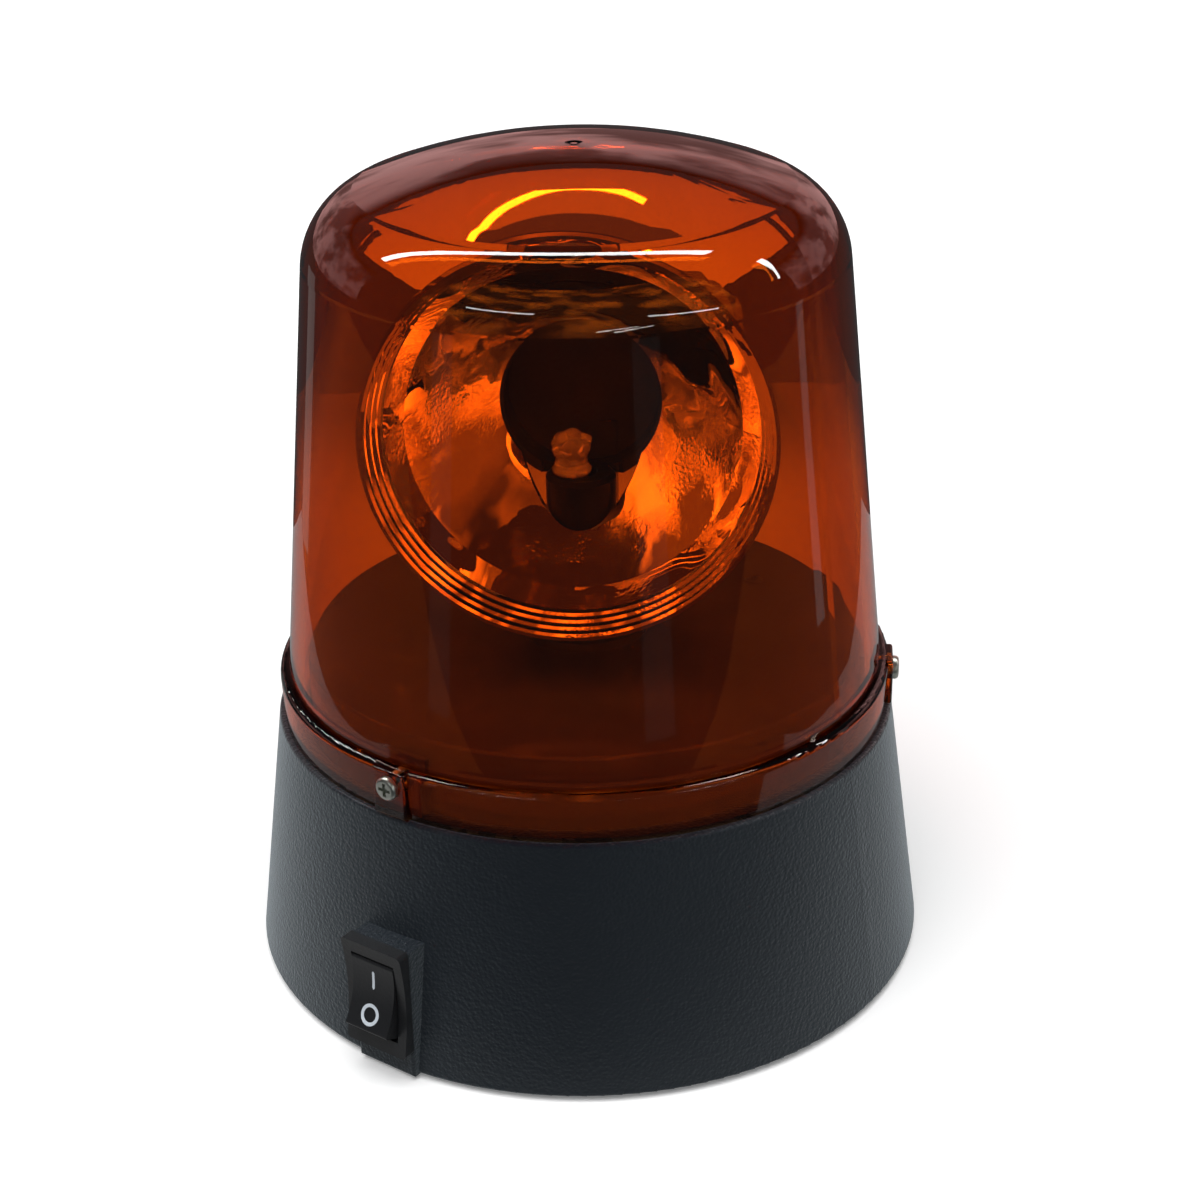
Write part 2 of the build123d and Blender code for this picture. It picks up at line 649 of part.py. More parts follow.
def make_motor_armature():
    """Three wound poles and the commutator, on the shaft."""
    armature = disc(2.6, 18, 31)
    for turn in (0, 120, 240):
        armature += Rot(0, 0, turn) * block(0, 5.6, -1, 1, 18, 31)
        wedge = Polyline([(0, 0), (9, -7), (9, 7)], close=True)
        sector = Pos(0, 0, 18) * extrude(make_face(wedge.edges()), 13, dir=(0, 0, 1))
        armature += Rot(0, 0, turn) * (ring(6.4, 5.2, 18, 31) & sector)
        armature += Rot(0, 0, turn) * ((ring(4.7, 2.4, 17, 32)) & sector)
    armature += disc(2.2, 15.2, 18)
    return at_motor(armature - disc(SHAFT_R, 0, 50))


def make_motor_terminals():
    tabs = []
    for side in (-1, 1):
        tabs.append(at_motor(block(side * 5 - 1, side * 5 + 1, 4.25, 4.75, 6.6, 12.3)))
    return tabs


def make_motor_strap():
    """A bent steel strip that hangs the motor from the gear plate."""
    low = STRAP_Y - 2.5
    high = STRAP_Y + 2.5
    outer = CAN_R + 0.9
    inner = CAN_R + 0.1
    strap = block(-outer, outer, low, high, CAN_BOTTOM_Z - 0.8, PLATE_Z)
    strap -= block(-inner, inner, low - 1, high + 1, CAN_BOTTOM_Z, PLATE_Z + 1)
    for side in (-1, 1):
        x = side * (outer + 2.5)
        strap += block(x - 2.7, x + 2.7, low, high, PLATE_Z - 0.8, PLATE_Z)
        strap -= disc(1.3, 30, 40, side * STRAP_SCREW_X, STRAP_Y)
    return strap


def make_strap_screws():
    one = screw(2.0, 1.2, 2.3, 1.0)
    return [Pos(side * STRAP_SCREW_X, STRAP_Y, PLATE_Z - 0.8) * Rot(180, 0, 0) * one for side in (-1, 1)]


# Reflector


def dish_place(shape):
    """From a dish that opens up +Z to the tilted, turned dish on the axis."""
    return Pos(0, 0, REFLECTOR_Z) * Rot(0, 0, REFLECTOR_YAW) * Rot(90 - REFLECTOR_TILT, 0, 0) * shape


def parabola(r, offset=0.0):
    """A point of the mirror's section, moved back along its normal."""
    slope = r / (2 * FOCAL)
    size = sqrt(1 + slope ** 2)
    return (r + offset * slope / size, r * r / (4 * FOCAL) - FOCAL - offset / size)


def make_reflector_dish():
    steps = 8
    radii = [DISH_HOLE_R + (BOWL_R - DISH_HOLE_R) * n / steps for n in range(steps + 1)]
    inside = [parabola(r) for r in radii]
    outside = [parabola(r, DISH_T) for r in reversed(radii)]
    bowl_r, bowl_a = inside[-1]
    # A flatter ring, then four fine steps out to the rim
    ledge = [(bowl_r, bowl_a), (25.1, 14.6)]
    step_r = (RIM_R - 0.5 - 25.1) / 4
    step_a = (RIM_A - 14.6) / 4
    for n in range(4):
        r, a = ledge[-1]
        ledge += [(r + 0.12, a + step_a * 0.8), (r + step_r, a + step_a)]
    rim = [ledge[-1], (RIM_R, RIM_A), (RIM_R, RIM_A - 0.9), (26.6, 15.2), (25.6, 13.6), outside[0]]
    outline = [
        Spline([(r, a) for r, a in inside]),
        Polyline(ledge),
        Polyline(rim),
        Spline([(r, a) for r, a in outside]),
        Line(outside[-1], inside[0]),
    ]
    face = make_face([edge for line in outline for edge in line.edges()])
    dish = revolve(Plane.XZ * face, Axis.Z)
    # The slot that lets the lamp post through, drawn from the front. It narrows downwards
    mid_r = (SLOT_SIDE_R + SLOT_END_R) / 2
    mid_w = (SLOT_HALF_W + SLOT_END_HALF_W) / 2 + 0.4
    slot = [
        Polyline([(-SLOT_HALF_W, -SLOT_SIDE_R), (-SLOT_HALF_W, 0), (SLOT_HALF_W, 0)]),
        Line((SLOT_HALF_W, 0), (SLOT_HALF_W, -SLOT_SIDE_R)),
        ThreePointArc((SLOT_HALF_W, -SLOT_SIDE_R), (mid_w, -mid_r), (SLOT_END_HALF_W, -SLOT_END_R)),
        Line((SLOT_END_HALF_W, -SLOT_END_R), (-SLOT_END_HALF_W, -SLOT_END_R)),
        ThreePointArc((-SLOT_END_HALF_W, -SLOT_END_R), (-mid_w, -mid_r), (-SLOT_HALF_W, -SLOT_SIDE_R)),
    ]
    slot_face = make_face([edge for line in slot for edge in line.edges()])
    dish -= Pos(0, 0, -10) * extrude(slot_face, 40, dir=(0, 0, 1))
    dish = dish_place(dish) - disc(POST_TUBE_R + SLOT_POST_GAP, 40, POST_TOP_Z + 1)
    return dish - disc(NECK_R + 0.1, 40, NECK_TOP_Z + 0.3)


def make_reflector_holder():
    """A black clip: a ring on the neck, an arm behind, and a cup that closes the dish's back."""
    arm_back = -12.6
    cup = ring(DISH_HOLE_R + 1.0, DISH_HOLE_R - 0.4, -10.0, -3.35)
    cup += disc(DISH_HOLE_R + 1.0, -11.6, -10.0)
    cup = dish_place(cup)
    ring_part = ring(8.3, NECK_R, HOLDER_Z0, HOLDER_Z1)
    arm = block(-4.5, 4.5, NECK_R + 1.2, -arm_back, HOLDER_Z0, REFLECTOR_Z - 6)
    arm -= block(-3.2, 3.2, NECK_R + 3.4, -arm_back + 1, HOLDER_Z0 + 3, REFLECTOR_Z - 9)
    arm -= dish_place(disc(DISH_HOLE_R - 0.4, -10.0, 5))
    holder = cup + ring_part + Rot(0, 0, REFLECTOR_YAW) * arm
    holder -= disc(NECK_R, 30, HOLDER_Z1 + 3)
    holder -= disc(NECK_R + 0.35, HOLDER_Z1, REFLECTOR_Z - 8)
    return holder


# Wires

WIRE_R = 0.6
RUN_Z = 28.0
TERMINAL_TOP = SWITCH_Z + TERMINAL_STEP + 0.25
TERMINAL_LOW = SWITCH_Z - TERMINAL_STEP + 0.25
MOTOR_TAB_Y = MOTOR_Y + 4.5


def make_wires():
    """Hand-laid runs between the lamp, the switch, the cells and the motor."""
    lamp_foot = 57.9
    return {
        "wire_lamp_to_switch": tube(
            [(1.1, 0, lamp_foot), (1.1, 0, RUN_Z), (1.1, -36, RUN_Z), (1.1, -36, TERMINAL_TOP)],
            [6, 6],
            WIRE_R,
        ),
        "wire_cells_to_switch": tube(
            [(25, -26.1, 12), (25, -31, 12), (4, -31, 12), (0, -36, 12), (0, -36, TERMINAL_LOW)],
            [3, 4, 1.4],
            WIRE_R,
        ),
        "wire_switch_to_motor": tube(
            [
                (-0.9, -38, TERMINAL_TOP),
                (-0.9, -38, 25),
                (-17, -12, 25),
                (-17, 36, 25),
                (-17, 36, 9),
                (-6.1, 36, 9),
            ],
            [4, 9, 6, 5],
            WIRE_R,
        ),
        "wire_cells_to_motor": tube(
            [(22, 21.7, 12), (22, 31, 12), (15, 36, 9.2), (6.1, 36, 9.2)],
            [4, 4],
            WIRE_R,
        ),
        "wire_lamp_to_motor": tube(
            [
                (-1.1, 0, lamp_foot),
                (-1.1, 0, 30),
                (17, 14, 30),
                (17, 36.6, 30),
                (17, 36.6, 7.4),
                (6.1, 36.6, 7.4),
            ],
            [6, 8, 6, 4],
            WIRE_R,
        ),
    }


def make_resistor():
    """The lamp's resistor, in a sleeve on its wire."""
    sleeve = Cylinder(1.25, 7) - Cylinder(WIRE_R, 8)
    return Pos(1.1, -19, RUN_Z) * Rot(90, 0, 0) * sleeve


def main():
    os.makedirs("parts", exist_ok=True)
    pieces = {
        "base_housing": make_base_housing(),
        "bottom_cover": make_bottom_cover(),
        "battery_door": make_battery_door(),
        "rubber_feet": make_feet(),
        "battery_cells": make_cells(),
        "battery_plates": make_plates(),
        "battery_springs": make_springs(),
        "cover_screws": make_cover_screws(),
        "switch_frame": make_switch_frame(),
        "switch_rocker": make_rocker(),
        "switch_terminals": make_switch_terminals(),
        "lens_dome": make_lens_dome(),
        "lens_screws": make_lens_screws(),
        "top_deck": make_top_deck(),
        "deck_screws": make_deck_screws(),
        "gear_plate": make_gear_plate(),
        "gear_plate_screws": make_plate_screws(),
        "led_post": make_led_post(),
        "thrust_washer": ring(6.3, POST_TUBE_R + 0.1, IDLER_STEP_Z, NECK_FOOT_Z),
        "neck_gear": make_neck_gear(),
        "idler_gear": make_idler_gear(),
        "idler_axle": disc(SHAFT_R, 33.9, 47.3, 0, IDLER_Y),
        "motor_pinion": make_motor_pinion(),
        "motor_shaft": disc(SHAFT_R, 12.6, 41.5, 0, MOTOR_Y),
        "motor_armature": make_motor_armature(),
        "motor_can": make_motor_can(),
        "motor_end_cap": make_motor_end_cap(),
        "motor_magnets": make_motor_magnets(),
        "motor_terminals": make_motor_terminals(),
        "motor_strap": make_motor_strap(),
        "strap_screws": make_strap_screws(),
        "led_resistor": make_resistor(),
    }
    pieces.update(make_wires())
    for name, shape in pieces.items():
        if isinstance(shape, list):
            save(name, [switch_side(one) for one in shape])
        else:
            save(name, switch_side(shape))
    led = make_led()
    save("led", led)
    leads = make_led_leads(led)
    save("led_leads", leads)
    save("reflector_dish", make_reflector_dish())
    save("reflector_holder", make_reflector_holder())


main()
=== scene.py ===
import json
import math

import bmesh
import bpy
from mathutils import Matrix, Vector
from mathutils import noise as cellNoise


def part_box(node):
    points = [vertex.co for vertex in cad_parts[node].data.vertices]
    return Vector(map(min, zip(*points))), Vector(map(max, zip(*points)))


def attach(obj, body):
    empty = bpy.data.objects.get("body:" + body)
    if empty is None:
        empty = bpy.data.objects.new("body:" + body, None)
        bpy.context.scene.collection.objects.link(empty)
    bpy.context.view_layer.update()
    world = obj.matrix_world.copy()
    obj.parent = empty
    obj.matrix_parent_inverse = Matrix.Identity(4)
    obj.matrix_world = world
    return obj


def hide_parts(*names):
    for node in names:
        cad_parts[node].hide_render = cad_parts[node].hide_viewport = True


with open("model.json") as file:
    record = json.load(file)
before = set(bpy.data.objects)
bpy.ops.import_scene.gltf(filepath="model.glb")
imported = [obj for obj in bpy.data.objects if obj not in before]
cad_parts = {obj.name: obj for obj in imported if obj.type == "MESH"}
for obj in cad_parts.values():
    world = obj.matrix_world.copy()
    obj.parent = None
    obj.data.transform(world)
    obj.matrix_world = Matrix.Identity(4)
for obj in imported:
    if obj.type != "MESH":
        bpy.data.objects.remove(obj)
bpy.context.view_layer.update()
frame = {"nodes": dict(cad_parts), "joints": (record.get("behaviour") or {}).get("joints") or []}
nodes = frame["nodes"]
print("frame loaded:", len(nodes), "nodes")

mm = 0.001


def newMaterial(name):
    mat = bpy.data.materials.new(name)
    mat.use_nodes = True
    tree = mat.node_tree
    shader = tree.nodes["Principled BSDF"]
    return mat, tree, shader


def addNode(tree, kind, **values):
    node = tree.nodes.new(kind)
    for key, value in values.items():
        if key in node.inputs:
            node.inputs[key].default_value = value
        else:
            setattr(node, key, value)
    return node


def objectCoords(tree):
    return tree.nodes.new("ShaderNodeTexCoord").outputs["Object"]


def noise(tree, scale, detail=2.0, rough=0.5, coords=None):
    node = addNode(tree, "ShaderNodeTexNoise", Scale=scale, Detail=detail, Roughness=rough)
    tree.links.new(coords or objectCoords(tree), node.inputs["Vector"])
    return node.outputs["Fac"]


def ramp(tree, value, stops):
    node = tree.nodes.new("ShaderNodeValToRGB")
    band = node.color_ramp
    band.elements[0].position, band.elements[0].color = stops[0][0], (*stops[0][1], 1)
    band.elements[1].position, band.elements[1].color = stops[-1][0], (*stops[-1][1], 1)
    for place, colour in stops[1:-1]:
        band.elements.new(place).color = (*colour, 1)
    tree.links.new(value, node.inputs["Fac"])
    return node.outputs["Color"]


def spread(tree, value, low, high):
    node = tree.nodes.new("ShaderNodeMapRange")
    node.inputs["To Min"].default_value = low
    node.inputs["To Max"].default_value = high
    tree.links.new(value, node.inputs["Value"])
    return node.outputs["Result"]


def between(tree, value, ends, levels=(0.0, 1.0), kind="SMOOTHSTEP"):
    # runs from the first level to the second as the value goes from one end to the other
    node = addNode(tree, "ShaderNodeMapRange", interpolation_type=kind)
    node.inputs["From Min"].default_value, node.inputs["From Max"].default_value = ends
    node.inputs["To Min"].default_value, node.inputs["To Max"].default_value = levels
    tree.links.new(value, node.inputs["Value"])
    return node.outputs["Result"]


def product(tree, one, other):
    node = addNode(tree, "ShaderNodeMath", operation="MULTIPLY")
    tree.links.new(one, node.inputs[0])
    tree.links.new(other, node.inputs[1])
    return node.outputs[0]


def along(tree, axis):
    node = tree.nodes.new("ShaderNodeSeparateXYZ")
    tree.links.new(objectCoords(tree), node.inputs[0])
    return node.outputs[axis]


def bump(tree, height, depth, after=None):
    node = addNode(tree, "ShaderNodeBump", Strength=1.0, Distance=depth)
    tree.links.new(height, node.inputs["Height"])
    if after is not None:
        tree.links.new(after, node.inputs["Normal"])
    return node.outputs["Normal"]


def paint(nodeNames, mat):
    for name in nodeNames:
        mesh = nodes[name].data
        if not mesh.materials:
            mesh.materials.append(mat)
        for n in range(len(mesh.materials)):
            mesh.materials[n] = mat


# camera

camSet = {
    "lens": 67.60, "sensor": 36.0,   # mm
    "away": 0.324634,     # from the turning axis, along the view
    "aimHeight": 0.0608,
    "rise": 23.9734,      # degrees
    "pan": -0.416634,
    "nod": -1.45096,
    "roll": 1.21692,
    "sees": (0.01, 20),   # nearest and furthest, in metres
}


def makeCamera():
    rise = math.radians(camSet["rise"])
    back = camSet["away"] * math.cos(rise)
    place = Vector((0, -back, camSet["aimHeight"] + camSet["away"] * math.sin(rise)))
    ahead = Vector((0, math.cos(rise), -math.sin(rise)))
    right = Vector((1, 0, 0))
    up = right.cross(ahead)
    pan = Matrix.Rotation(math.radians(camSet["pan"]), 3, up)
    ahead, right = pan @ ahead, pan @ right
    nod = Matrix.Rotation(math.radians(camSet["nod"]), 3, right)
    ahead = nod @ ahead
    up = right.cross(ahead)
    roll = Matrix.Rotation(math.radians(camSet["roll"]), 3, ahead)
    right, up = roll @ right, roll @ up
    data = bpy.data.cameras.new("camera")
    data.lens = camSet["lens"]
    data.sensor_width = camSet["sensor"]
    data.clip_start, data.clip_end = camSet["sees"]
    cam = bpy.data.objects.new("camera", data)
    cam.matrix_world = Matrix((
        (right.x, up.x, -ahead.x, place.x),
        (right.y, up.y, -ahead.y, place.y),
        (right.z, up.z, -ahead.z, place.z),
        (0, 0, 0, 1),
    ))
    bpy.context.scene.collection.objects.link(cam)
    bpy.context.scene.camera = cam


makeCamera()
print("camera set")


# materials

def makeAmber():
    # half the tint is taken at the faces, and half grows with the depth of plastic that light crosses
    look = {
        "passes": (0.6, 0.195, 0.028), "wall": 2.0 * mm,   # what one wall lets through
        "rough": 0.012, "ior": 1.49,
        "rippleSize": 45, "ripple": 0.04 * mm,
        "spare": 1.02,   # keeps the strongest colour of the absorption just above black
    }
    half = [math.sqrt(c) for c in look["passes"]]
    mat, tree, shader = newMaterial("amberLens")
    shader.inputs["Base Color"].default_value = (*half, 1)
    shader.inputs["Roughness"].default_value = look["rough"]
    shader.inputs["IOR"].default_value = look["ior"]
    shader.inputs["Transmission Weight"].default_value = 1.0
    ripple = noise(tree, look["rippleSize"], 1.0)
    tree.links.new(bump(tree, ripple, look["ripple"]), shader.inputs["Normal"])
    clear = addNode(tree, "ShaderNodeBsdfTransparent", Color=(1, 1, 1, 1))
    path = tree.nodes.new("ShaderNodeLightPath")
    mix = tree.nodes.new("ShaderNodeMixShader")
    tree.links.new(path.outputs["Is Shadow Ray"], mix.inputs[0])
    tree.links.new(shader.outputs[0], mix.inputs[1])
    tree.links.new(clear.outputs[0], mix.inputs[2])
    out = tree.nodes["Material Output"]
    tree.links.new(mix.outputs[0], out.inputs["Surface"])
    lost = [-math.log(c) / look["wall"] for c in half]
    most = max(lost) * look["spare"]
    soak = addNode(tree, "ShaderNodeVolumeAbsorption", Density=most)
    soak.inputs["Color"].default_value = (*[1 - v / most for v in lost], 1)
    tree.links.new(soak.outputs[0], out.inputs["Volume"])
    return mat


def makeGrainedBlack():
    look = {
        "dark": (0.0008, 0.0020, 0.0050), "pale": (0.0020, 0.0042, 0.0082), "patchSize": 28,
        "grain": 2100, "depth": 0.1 * mm, "fineSize": 4200,
        "rough": (0.34, 0.52), "shineTint": (0.86, 0.95, 1.0),
        "sheen": 0.32, "sheenRough": 0.46, "sheenTint": (0.82, 0.94, 1.0),   # pales it towards its edges
    }
    mat, tree, shader = newMaterial("grainedBlack")
    coords = objectCoords(tree)
    pebbles = addNode(tree, "ShaderNodeTexVoronoi", Scale=look["grain"], feature="SMOOTH_F1")
    tree.links.new(coords, pebbles.inputs["Vector"])
    fine = noise(tree, look["fineSize"], 3.0, 0.6, coords)
    patches = noise(tree, look["patchSize"], 3.0, 0.55, coords)
    colour = ramp(tree, patches, [(0.3, look["dark"]), (0.75, look["pale"])])
    tree.links.new(colour, shader.inputs["Base Color"])
    tree.links.new(spread(tree, fine, *look["rough"]), shader.inputs["Roughness"])
    shader.inputs["Specular Tint"].default_value = (*look["shineTint"], 1)
    shader.inputs["Sheen Weight"].default_value = look["sheen"]
    shader.inputs["Sheen Roughness"].default_value = look["sheenRough"]
    shader.inputs["Sheen Tint"].default_value = (*look["sheenTint"], 1)
    first = bump(tree, pebbles.outputs["Distance"], look["depth"])
    tree.links.new(bump(tree, fine, look["depth"] * 0.5, first), shader.inputs["Normal"])
    return mat


def makePlainBlack(name, colour, low, high, grain, depth, shine=0.5):
    mat, tree, shader = newMaterial(name)
    shader.inputs["Specular IOR Level"].default_value = shine
    coords = objectCoords(tree)
    fine = noise(tree, grain, 3.0, 0.6, coords)
    cloud = noise(tree, 60, 2.0, 0.5, coords)
    light = tuple(c * 1.5 for c in colour)
    tree.links.new(ramp(tree, cloud, [(0.3, colour), (0.75, light)]), shader.inputs["Base Color"])
    tree.links.new(spread(tree, fine, low, high), shader.inputs["Roughness"])
    tree.links.new(bump(tree, fine, depth), shader.inputs["Normal"])
    return mat


def makeMirror():
    # vacuum plating on a moulding: wavy, with grainy patches that sparkle
    look = {
        "plate": (0.96, 0.95, 0.93), "worn": (0.8, 0.79, 0.76),
        "patchSize": 75, "rough": (0.015, 0.09),
        "waveSize": 85, "wave": 0.3 * mm,
        "swirlSize": 190, "swirl": 0.11 * mm,
        "rings": 55, "ringBend": 1.2, "ripple": 0.04 * mm,   # left by turning the mould
        "gritSize": 1900, "grain": 0.03 * mm,
    }
    mat, tree, shader = newMaterial("platedMirror")
    coords = objectCoords(tree)
    shader.inputs["Metallic"].default_value = 1.0
    patches = noise(tree, look["patchSize"], 3.0, 0.6, coords)
    colour = ramp(tree, patches, [(0.45, look["plate"]), (0.75, look["worn"])])
    tree.links.new(colour, shader.inputs["Base Color"])
    grainy = between(tree, patches, (0.5, 0.62))
    tree.links.new(spread(tree, grainy, *look["rough"]), shader.inputs["Roughness"])
    low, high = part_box("reflector_dish")
    centred = tree.nodes.new("ShaderNodeMapping")
    centred.inputs["Location"].default_value = -(Vector(low) + Vector(high)) / 2
    tree.links.new(coords, centred.inputs["Vector"])
    rings = addNode(tree, "ShaderNodeTexWave", Scale=look["rings"], Distortion=look["ringBend"], Detail=0.0)
    rings.wave_type = "RINGS"
    rings.rings_direction = "SPHERICAL"
    tree.links.new(centred.outputs[0], rings.inputs["Vector"])
    wave = bump(tree, noise(tree, look["waveSize"], 1.0, 0.4, coords), look["wave"])
    swirl = bump(tree, noise(tree, look["swirlSize"], 0.0, 0.4, coords), look["swirl"], wave)
    ripple = bump(tree, rings.outputs["Fac"], look["ripple"], swirl)
    grit = product(tree, noise(tree, look["gritSize"], 1.0, 0.5, coords), grainy)
    tree.links.new(bump(tree, grit, look["grain"], ripple), shader.inputs["Normal"])
    return mat


def makeSteel(name, colour, low, high, scratches):
    mat, tree, shader = newMaterial(name)
    coords = objectCoords(tree)
    shader.inputs["Metallic"].default_value = 1.0
    fine = noise(tree, scratches, 4.0, 0.6, coords)
    dull = tuple(c * 0.75 for c in colour)
    tree.links.new(ramp(tree, fine, [(0.35, dull), (0.7, colour)]), shader.inputs["Base Color"])
    tree.links.new(spread(tree, fine, low, high), shader.inputs["Roughness"])
    tree.links.new(bump(tree, fine, 0.00002), shader.inputs["Normal"])
    return mat


def makePlastic(name, colour, low=0.3, high=0.45, grain=900, depth=0.00002):
    mat, tree, shader = newMaterial(name)
    coords = objectCoords(tree)
    fine = noise(tree, grain, 3.0, 0.5, coords)
    shade = tuple(c * 0.88 for c in colour)
    tree.links.new(ramp(tree, fine, [(0.3, shade), (0.7, colour)]), shader.inputs["Base Color"])
    tree.links.new(spread(tree, fine, low, high), shader.inputs["Roughness"])
    tree.links.new(bump(tree, fine, depth), shader.inputs["Normal"])
    return mat


def makeClearEpoxy():
    mat, tree, shader = newMaterial("clearEpoxy")
    shader.inputs["Base Color"].default_value = (0.97, 0.96, 0.92, 1)
    shader.inputs["IOR"].default_value = 1.5
    shader.inputs["Transmission Weight"].default_value = 0.8   # the rough casting is a little milky
    rough = noise(tree, 700, 2.0)
    tree.links.new(spread(tree, rough, 0.03, 0.12), shader.inputs["Roughness"])
    tree.links.new(bump(tree, rough, 0.00008), shader.inputs["Normal"])
    return mat


amber = makeAmber()
grained = makeGrainedBlack()
deckBlack = makePlainBlack("deckBlack", (0.045, 0.045, 0.045), 0.13, 0.22, 300, 0.000003)
neckBlack = makePlainBlack("neckBlack", (0.02, 0.02, 0.022), 0.2, 0.3, 700, 0.000006, 0.3)
postBlack = makePlainBlack("postBlack", (0.003, 0.003, 0.0035), 0.34, 0.46, 900, 0.00001, 0.15)
switchBlack = makePlainBlack("switchBlack", (0.009, 0.0095, 0.0105), 0.26, 0.4, 1800, 0.00003)
rubber = makePlainBlack("rubberBlack", (0.012, 0.012, 0.012), 0.7, 0.85, 1400, 0.00003)
mirrorPlate = makeMirror()
screwSteel = makeSteel("screwSteel", (0.74, 0.76, 0.68), 0.22, 0.4, 900)
canSteel = makeSteel("canSteel", (0.6, 0.6, 0.61), 0.25, 0.42, 500)
contactSteel = makeSteel("contactSteel", (0.82, 0.8, 0.74), 0.18, 0.32, 800)
brass = makeSteel("pinionBrass", (0.8, 0.6, 0.28), 0.2, 0.35, 700)
copper = makeSteel("windingCopper", (0.72, 0.34, 0.17), 0.3, 0.45, 1500)
ferrite = makePlainBlack("ferriteGrey", (0.03, 0.03, 0.032), 0.6, 0.75, 900, 0.00004)
acetal = makePlastic("acetalWhite", (0.82, 0.82, 0.78))
nylon = makePlastic("nylonCream", (0.76, 0.74, 0.68))
cellWrap = makePlastic("cellWrap", (0.07, 0.11, 0.15), 0.2, 0.3)
beige = makePlastic("resistorBeige", (0.66, 0.5, 0.32), 0.35, 0.5)
redVinyl = makePlastic("redVinyl", (0.5, 0.02, 0.015), 0.35, 0.5)
darkVinyl = makePlastic("darkVinyl", (0.02, 0.02, 0.02), 0.35, 0.5)
epoxy = makeClearEpoxy()
markWhite = makePlastic("markWhite", (0.5, 0.55, 0.6), 0.4, 0.5)

paint(["lens_dome"], amber)
paint(["base_housing", "bottom_cover", "battery_door"], grained)
paint(["top_deck", "gear_plate"], deckBlack)
paint(["neck_gear", "reflector_holder"], neckBlack)
paint(["led_post"], postBlack)
paint(["switch_frame", "switch_rocker"], switchBlack)
paint(["rubber_feet"], rubber)
paint(["reflector_dish"], mirrorPlate)
paint(["lens_screws", "deck_screws", "gear_plate_screws", "cover_screws", "strap_screws"], screwSteel)
paint(["motor_strap", "motor_can", "motor_shaft", "idler_axle"], canSteel)
paint(["battery_plates", "battery_springs"], contactSteel)
paint(["switch_terminals", "motor_terminals", "led_leads"], contactSteel)
paint(["motor_pinion"], brass)
paint(["motor_armature"], copper)
paint(["motor_magnets"], ferrite)
paint(["idler_gear", "motor_end_cap"], acetal)
paint(["thrust_washer"], nylon)
paint(["battery_cells"], cellWrap)
paint(["led_resistor"], beige)
paint(["wire_lamp_to_switch", "wire_cells_to_switch", "wire_switch_to_motor"], redVinyl)
paint(["wire_cells_to_motor", "wire_lamp_to_motor"], darkVinyl)
print("materials made")


# lamp and switch marks

lampSet = {
    "radius": 2.9 * mm, "height": 6.5 * mm, "foot": 0.5 * mm,
    "rings": 40, "sides": 64,
    "lump": 1.3 * mm, "lumpsPerMetre": 430,   # the clear head is a rough cast blob
    "lumpFrom": 0.6 * mm, "lumpMiddle": 0.3,
    "shoulder": 0.55, "roundness": 2.4,       # where the sides start to close in, and how squarely
    # radius and height of the small dish that holds the chip, and of the pin beside it
    "cup": [
        (0, 0.9), (0.35, 0.9), (0.35, 2.6), (0.95, 3.1),
        (1.0, 3.5), (0.85, 3.5), (0.45, 3.0), (0, 3.0),
    ],
    "pin": [(0, 0.9), (0.3, 0.9), (0.3, 3.2), (0.2, 3.6), (0, 3.6)],
    "cupAt": -0.7 * mm, "pinAt": 1.0 * mm,
    "cupSides": 24, "pinSides": 12,
}

markSet = {
    "faceRound": 13.22 * mm, "faceDip": 2.35 * mm,   # the rocker's hollow front
    "restTip": -12.5,
    "barAt": 2.2 * mm, "barLong": 2.75 * mm, "barWide": 0.42 * mm,
    "ringAt": -2.85 * mm, "ringOut": 1.5 * mm, "ringIn": 1.02 * mm,
    "proud": 0.04 * mm, "sunk": 0.06 * mm,
    "barSteps": 12, "ringSteps": 48,
    "barEnd": 0.3,   # the bar's rounded ends stop at this share of its width
}


def meshPiece(name, build, mat, body, smooth=True):
    mesh = bpy.data.meshes.new(name)
    work = bmesh.new()
    build(work)
    bmesh.ops.recalc_face_normals(work, faces=work.faces)
    work.to_mesh(mesh)
    work.free()
    for face in mesh.polygons:
        face.use_smooth = smooth
    thing = bpy.data.objects.new(name, mesh)
    bpy.context.scene.collection.objects.link(thing)
    mesh.materials.append(mat)
    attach(thing, body)
    return thing


def lathe(work, profile, sides, nudge=None):
    # profile runs from the axis at the bottom to the axis at the top
    loops = []
    for radius, height in profile[1:-1]:
        loop = []
        for k in range(sides):
            a = 2 * math.pi * k / sides
            spot = Vector((radius * math.cos(a), radius * math.sin(a), height))
            loop.append(work.verts.new(nudge(spot) if nudge else spot))
        loops.append(loop)
    for low, high in zip(loops, loops[1:]):
        for k in range(sides):
            n = (k + 1) % sides
            work.faces.new((low[k], low[n], high[n], high[k]))
    for loop, end in ((loops[0], profile[0]), (loops[-1], profile[-1])):
        tip = work.verts.new((0, 0, end[1]))
        for k in range(sides):
            work.faces.new((loop[k], loop[(k + 1) % sides], tip))


